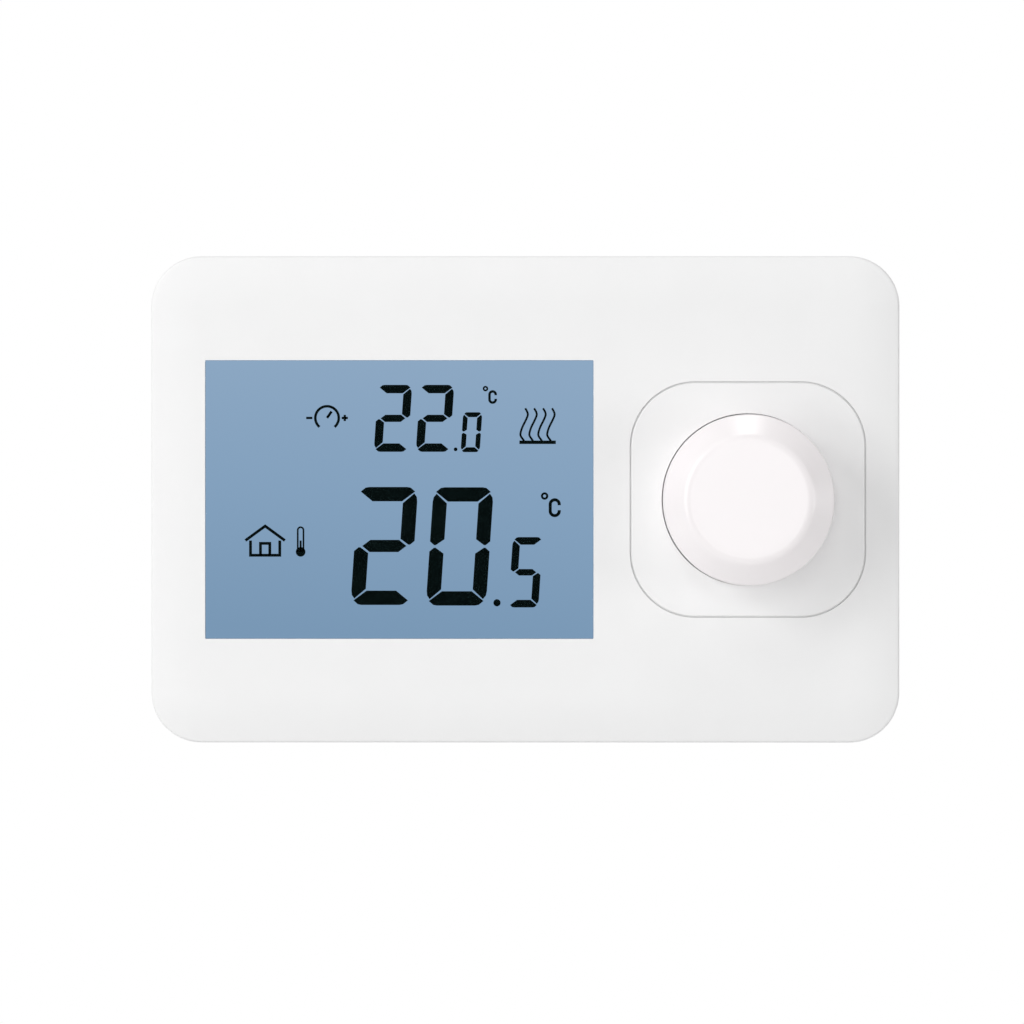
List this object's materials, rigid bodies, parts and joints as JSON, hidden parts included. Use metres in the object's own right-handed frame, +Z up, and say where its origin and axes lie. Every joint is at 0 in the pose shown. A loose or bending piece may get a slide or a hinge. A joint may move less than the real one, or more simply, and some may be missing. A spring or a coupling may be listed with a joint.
{
  "type": "wall-mounted room heating controller",
  "caption": "Flat rounded rectangular room heating controller with a flush back-lit display, a rotary push knob in a rounded-square surround, and a screw-on wall plate.",
  "frame": {"origin": "centre of the wall face, on the wall plate's back", "axes": "+Y into the wall, +X to the right for someone facing the front, +Z up"},
  "size_m": [0.12, 0.0385, 0.078],
  "materials": {
    "white_case": "fine-grained matt moulding",
    "white_knob": "smooth satin moulding",
    "display_blue": "back-lit liquid crystal display with an opaque diffuser behind it",
    "clear_lens": "clear acrylic window, low reflection",
    "milky_plastic": "milky, light-spreading",
    "steel": "nickel-plated",
    "brass": "bright stamping",
    "board_green": "solder-masked glass-fibre laminate",
    "terminal_green": "satin moulding",
    "dark_plastic": "moulded, satin",
    "relay_blue": "sealed housing",
    "cell_wrap": null,
    "rubber": "striped conductive silicone"
  },
  "bodies": {
    "controller": {"backlight_guide": "milky_plastic", "backlight_led_left": "milky_plastic", "backlight_led_right": "milky_plastic", "battery_1": "cell_wrap", "battery_2": "cell_wrap", "battery_bridge": "steel", "battery_contact_1": "steel", "battery_contact_2": "steel", "battery_spring_1": "steel", "battery_spring_2": "steel", "board_screw_1": "steel", "board_screw_2": "steel", "board_screw_3": "steel", "board_screw_4": "steel", "board_socket": "dark_plastic", "capacitor": "dark_plastic", "case_screw_1": "steel", "case_screw_2": "steel", "case_screw_3": "steel", "case_screw_4": "steel", "clock_crystal": "steel", "contact_blade_1": "brass", "contact_blade_2": "brass", "contact_blade_3": "brass", "controller_chip": "dark_plastic", "display_lens": "clear_lens", "encoder_body": "dark_plastic", "encoder_bush": "steel", "front_cover": "white_case", "knob_surround": "white_case", "lcd_frame": "white_case", "lcd_glass": "display_blue", "locking_screw": "steel", "main_board": "board_green", "rear_housing": "white_case", "relay": "relay_blue", "switch_dome": "steel", "temperature_sensor": "dark_plastic", "terminal_block": "terminal_green", "terminal_screw_1": "steel", "terminal_screw_2": "steel", "terminal_screw_3": "steel", "wall_plate": "white_case", "zebra_connector": "rubber"},
    "press_carrier": {"switch_plunger": "white_case"},
    "knob": {"knob": "white_knob", "knob_clip": "steel", "encoder_shaft": "steel"},
    "rotor": {"encoder_rotor": "brass"}
  },
  "joints": [
    {"name": "knob_press", "type": "slide", "parent": "controller", "child": "press_carrier", "axis": [0, 1, 0], "range_m": [0, 0.0005], "stiffness_N_per_m": 400, "springref_m": -0.002},
    {"name": "knob_turn", "type": "hinge", "parent": "press_carrier", "child": "knob", "pos_m": [0.0357, -0.028, 0], "axis": [0, 1, 0], "continuous": true},
    {"name": "rotor_turn", "type": "hinge", "parent": "controller", "child": "rotor", "pos_m": [0.0357, -0.028, 0], "axis": [0, 1, 0], "continuous": true}
  ],
  "couplings": [
    {"joint": "rotor_turn", "follows": "knob_turn", "ratio": 1}
  ]
}
